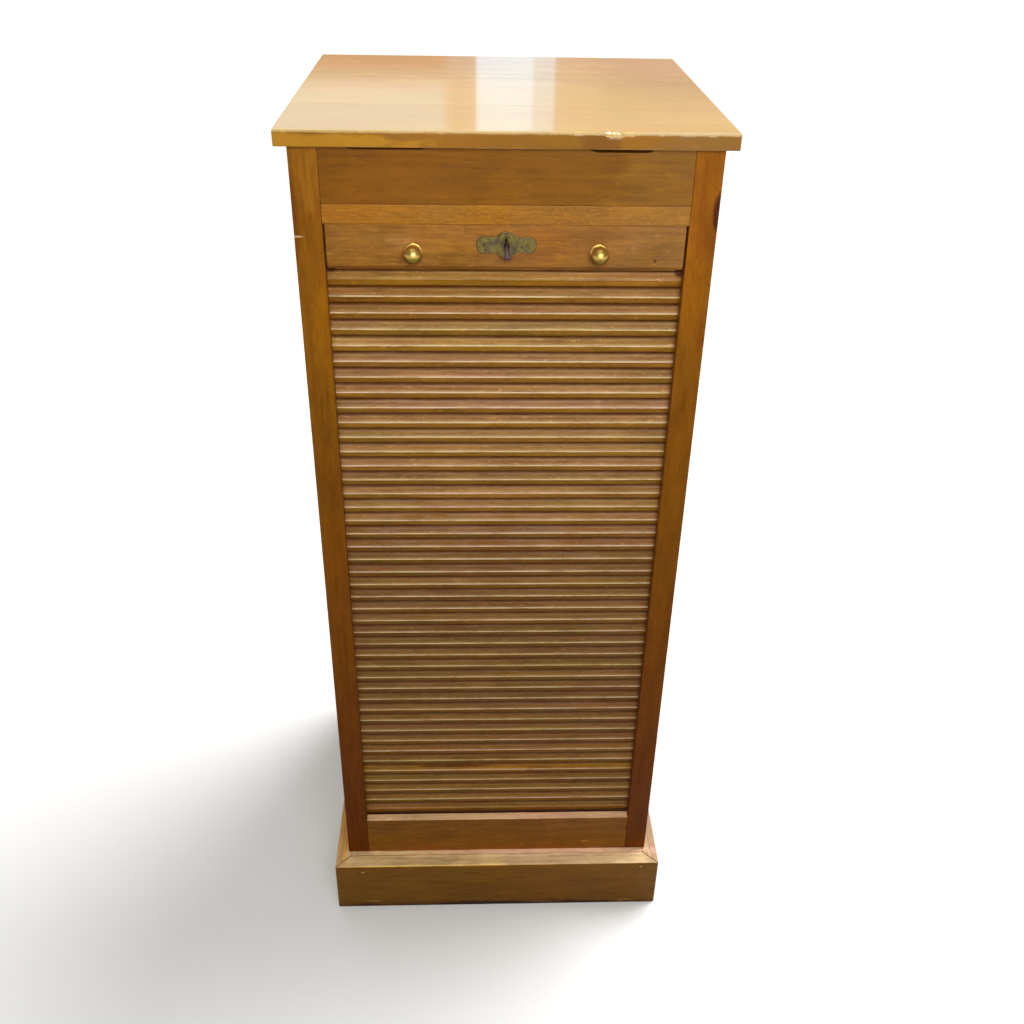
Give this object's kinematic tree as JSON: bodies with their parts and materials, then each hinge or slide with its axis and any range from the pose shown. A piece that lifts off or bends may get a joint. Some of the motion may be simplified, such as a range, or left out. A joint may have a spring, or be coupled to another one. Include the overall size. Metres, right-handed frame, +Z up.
{
  "type": "tambour cabinet",
  "caption": "Free-standing oak cabinet with a drop-down tambour shutter, lock and key, brass ball knobs, fixed shelves, panelled sides and a plinth.",
  "frame": {"origin": "centre of the plinth's footprint, on the floor", "axes": "+Z up, -Y out of the shuttered front, +X to the right seen from the front"},
  "size_m": [0.496, 0.47, 1.178],
  "materials": {
    "oak": "polished oak, golden brown, satin",
    "top_oak": "polished oak, faded honey, semi-gloss",
    "slat_oak": "oak slats, dry satin with pale worn ridges",
    "plinth_oak": "polished oak, dark, satin",
    "inner_wood": "unpolished pine and oak",
    "canvas": "glued canvas backing",
    "brass": "polished brass",
    "tarnished_brass": "tarnished olive brass",
    "steel": "dull worn steel"
  },
  "bodies": {
    "cabinet": {"top_board": "top_oak", "front_stile_left": "oak", "front_stile_right": "oak", "frieze_board": "oak", "strike_rail": "oak", "bottom_rail": "oak", "side_left_front_stile": "oak", "side_left_rear_stile": "oak", "side_left_top_rail": "oak", "side_left_middle_rail": "oak", "side_left_bottom_rail": "oak", "side_left_upper_panel": "oak", "side_left_lower_panel": "oak", "side_right_front_stile": "oak", "side_right_rear_stile": "oak", "side_right_top_rail": "oak", "side_right_middle_rail": "oak", "side_right_bottom_rail": "oak", "side_right_upper_panel": "oak", "side_right_lower_panel": "oak", "plinth_front": "plinth_oak", "plinth_left": "plinth_oak", "plinth_right": "plinth_oak", "plinth_back": "plinth_oak", "top_cleat_left": "inner_wood", "top_cleat_right": "inner_wood", "liner_left": "inner_wood", "liner_right": "inner_wood", "track_block_front_left": "inner_wood", "track_block_rear_left": "inner_wood", "track_block_front_right": "inner_wood", "track_block_rear_right": "inner_wood", "inner_floor": "inner_wood", "inner_top": "inner_wood", "false_back": "inner_wood", "shelf_1": "inner_wood", "shelf_2": "inner_wood", "shelf_3": "inner_wood", "shelf_4": "inner_wood", "carcase_bottom": "inner_wood", "back_rail": "inner_wood", "back_board_1": "inner_wood", "back_board_2": "inner_wood", "back_board_3": "inner_wood", "plinth_packing_strip": "inner_wood", "plinth_block_front_left": "inner_wood", "plinth_block_rear_left": "inner_wood", "plinth_block_front_right": "inner_wood", "plinth_block_rear_right": "inner_wood", "link_plate": "brass"},
    "shutter": {"lead_rail": "oak", "tambour_curtain": "slat_oak", "knob_left": "brass", "knob_right": "brass", "knob_screw_left": "steel", "knob_screw_right": "steel", "escutcheon": "tarnished_brass", "lock_case": "brass"},
    "key": {"key": "steel"},
    "lock_bolt": {"lock_bolt": "brass"}
  },
  "joints": [
    {"name": "shutter_slide", "type": "slide", "parent": "cabinet", "child": "shutter", "axis": [0, 0, -1], "range_m": [0, 0.8682], "deforming": ["tambour_curtain"]},
    {"name": "key_turn", "type": "hinge", "parent": "shutter", "child": "key", "pos_m": [0, -0.195, 1.0548], "axis": [0, -1, 0], "range_deg": [0, 90]},
    {"name": "bolt_throw", "type": "slide", "parent": "shutter", "child": "lock_bolt", "axis": [1, 0, 0], "range_m": [0, 0.007]}
  ],
  "couplings": [
    {"joint": "bolt_throw", "follows": "key_turn", "m_per_rad": 0.004456}
  ]
}
